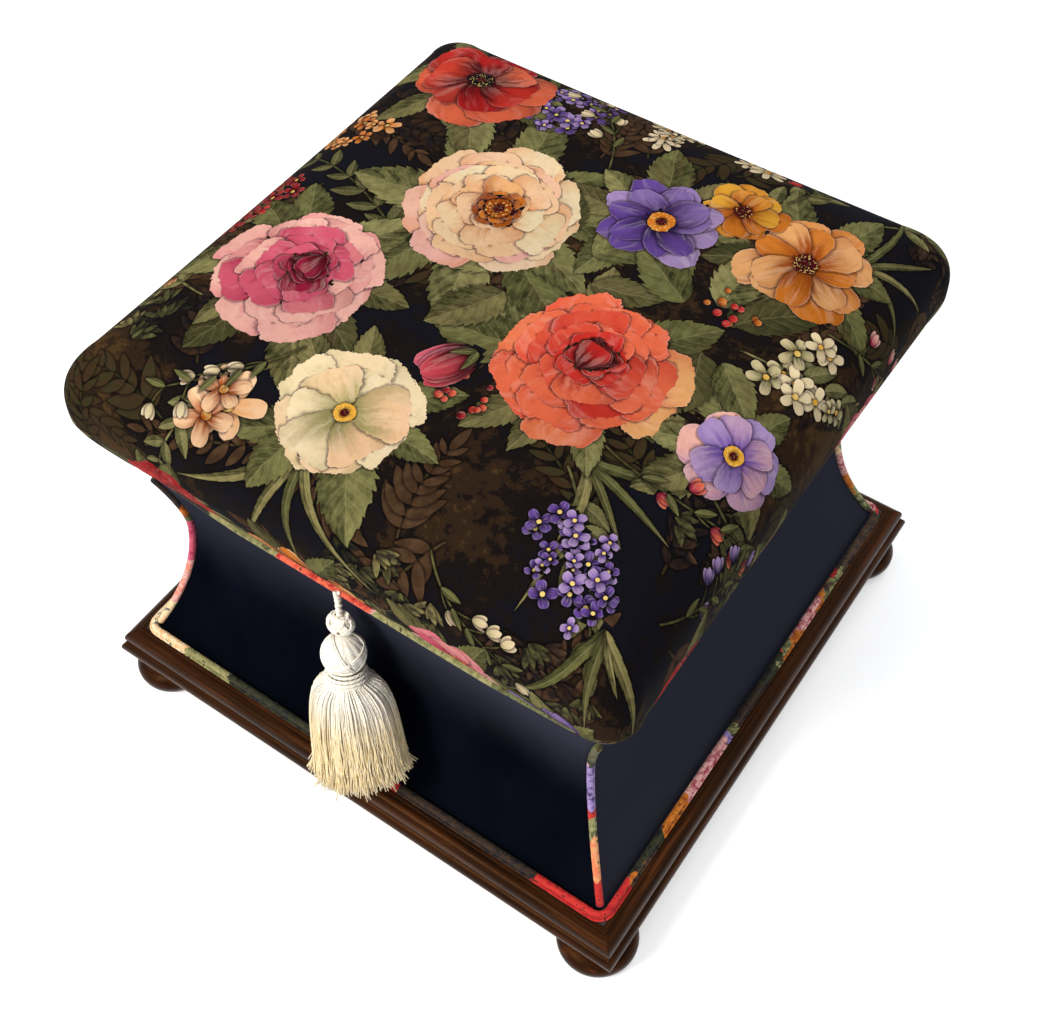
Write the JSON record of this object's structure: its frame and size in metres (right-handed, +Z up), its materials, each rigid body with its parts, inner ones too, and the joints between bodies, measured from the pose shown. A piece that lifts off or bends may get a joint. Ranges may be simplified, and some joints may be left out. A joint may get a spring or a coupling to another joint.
{
  "type": "upholstered footstool",
  "caption": "Square box footstool: deep cushioned lid hinged over a hollow, waisted velvet body on a moulded wooden plinth with bun feet, with a silk tassel as its pull.",
  "frame": {"origin": "on the floor, under the middle of the square plinth", "axes": "+Z up, -Y to the front, where the tassel hangs, +X to the right seen from the front"},
  "size_m": [0.3874, 0.4024, 0.3207],
  "materials": {
    "velvet": "navy cotton velvet",
    "mahogany": "dark stained, polished",
    "floral_print": "printed linen, flowers on near-black",
    "piping": "cord covered in printed linen",
    "silk": "cream rayon thread, lustrous",
    "plywood": "bare birch plywood",
    "softwood": "bare pine",
    "foam": "upholstery stuffing",
    "lining": "black cotton",
    "brass": "brushed"
  },
  "bodies": {
    "base": {"bun_foot_front_right": "mahogany", "bun_foot_back_right": "mahogany", "bun_foot_back_left": "mahogany", "bun_foot_front_left": "mahogany", "plinth_rail_front": "mahogany", "plinth_rail_right": "mahogany", "plinth_rail_back": "mahogany", "plinth_rail_left": "mahogany", "base_board": "plywood", "corner_block_front_right": "softwood", "corner_block_back_right": "softwood", "corner_block_back_left": "softwood", "corner_block_front_left": "softwood", "box_side_front": "plywood", "box_side_back": "plywood", "box_side_left": "plywood", "box_side_right": "plywood", "box_lining": "lining", "corner_former_front_right": "softwood", "corner_former_back_right": "softwood", "corner_former_back_left": "softwood", "corner_former_front_left": "softwood", "side_panel_front": "plywood", "side_panel_right": "plywood", "side_panel_back": "plywood", "side_panel_left": "plywood", "rim_frame": "softwood", "velvet_front": "velvet", "velvet_right": "velvet", "velvet_back": "velvet", "velvet_left": "velvet", "base_piping": "piping", "corner_piping_front_right": "piping", "corner_piping_back_right": "piping", "corner_piping_back_left": "piping", "corner_piping_front_left": "piping", "hinge_box_leaf": "brass", "hinge_pin": "brass", "box_hinge_screw_1": "brass", "box_hinge_screw_2": "brass", "box_hinge_screw_3": "brass", "box_hinge_screw_4": "brass", "box_hinge_screw_5": "brass"},
    "lid": {"lid_cover": "floral_print", "lid_foam": "foam", "lid_board": "plywood", "lid_lining": "lining", "lid_piping": "piping", "hinge_lid_leaf": "brass", "lid_hinge_screw_1": "brass", "lid_hinge_screw_2": "brass", "lid_hinge_screw_3": "brass", "lid_hinge_screw_4": "brass", "lid_hinge_screw_5": "brass", "tassel_loop": "silk"},
    "tassel_cord": {"tassel_cord": "silk"},
    "tassel": {"tassel_head": "silk", "tassel_neck": "silk", "tassel_skirt": "silk"}
  },
  "joints": [
    {"name": "lid_hinge", "type": "hinge", "parent": "base", "child": "lid", "pos_m": [0, 0.154, 0.20315], "axis": [-1, 0, 0], "range_deg": [0, 95]},
    {"name": "tassel_swing", "type": "hinge", "parent": "lid", "child": "tassel_cord", "pos_m": [-0.0125, -0.15475, 0.1994], "axis": [1, 0, 0], "range_deg": [0, 71.5]},
    {"name": "tassel_sway", "type": "hinge", "parent": "tassel_cord", "child": "tassel", "pos_m": [-0.00926, -0.15914, 0.18409], "axis": [0, 0.9613, -0.2756], "range_deg": [-10, 20]}
  ],
  "couplings": [
    {"joint": "tassel_swing", "follows": "lid_hinge", "ratio": 0.75}
  ]
}
